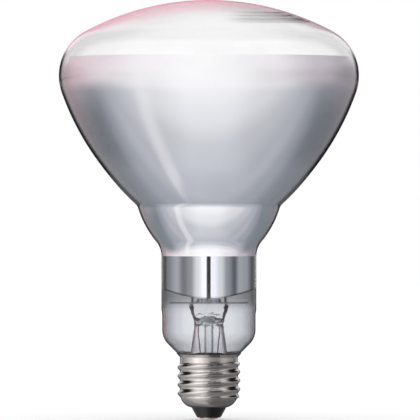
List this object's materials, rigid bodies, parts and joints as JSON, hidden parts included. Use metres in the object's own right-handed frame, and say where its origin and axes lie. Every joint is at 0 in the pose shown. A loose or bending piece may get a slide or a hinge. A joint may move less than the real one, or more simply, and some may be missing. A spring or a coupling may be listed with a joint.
{
  "type": "infrared heat lamp bulb",
  "caption": "Reflector heat lamp with a blown glass bulb, mirrored sides, a clear domed face and neck, a glass stem with filament mount, and a rolled screw cap.",
  "frame": {"origin": "lowest point of the solder on the centre contact, on the lamp's axis", "axes": "+Z along the axis from the screw cap to the domed face, +X to the right lead wire, -Y to the viewer of the picture"},
  "size_m": [0.125, 0.125, 0.1748],
  "materials": {
    "bulb_glass": "clear blown glass, faintly pink, with an aluminium mirror inside",
    "mirror_film": "evaporated aluminium",
    "stem_glass": "clear drawn glass, pressed and wrinkled at the seal",
    "shield_aluminium": "bright pressed sheet",
    "copper_wire": "bare copper",
    "nickel_wire": "bare nickel-plated iron",
    "molybdenum_wire": "bare molybdenum",
    "tungsten": "coiled tungsten wire",
    "cap_nickel": "nickel-plated rolled brass",
    "cement": "matt capping cement",
    "black_glass": "black glass, glossy",
    "contact_brass": "nickel-plated brass",
    "solder": "tin solder"
  },
  "bodies": {
    "root": {"glass_bulb": "bulb_glass", "mirror_film": "mirror_film", "stem_glass": "stem_glass", "exhaust_tube": "stem_glass", "arbor_rod": "stem_glass", "heat_shield": "shield_aluminium", "seal_wire_right": "copper_wire", "seal_wire_left": "copper_wire", "outer_lead_side": "copper_wire", "outer_lead_contact": "copper_wire", "inner_lead_right": "nickel_wire", "inner_lead_left": "nickel_wire", "filament": "tungsten", "support_wire_1": "molybdenum_wire", "support_wire_2": "molybdenum_wire", "support_wire_3": "molybdenum_wire", "support_wire_4": "molybdenum_wire", "support_wire_5": "molybdenum_wire", "cap_shell": "cap_nickel", "cap_cement": "cement", "cap_insulator": "black_glass", "centre_contact": "contact_brass", "contact_solder": "solder", "side_solder": "solder"}
  },
  "joints": []
}
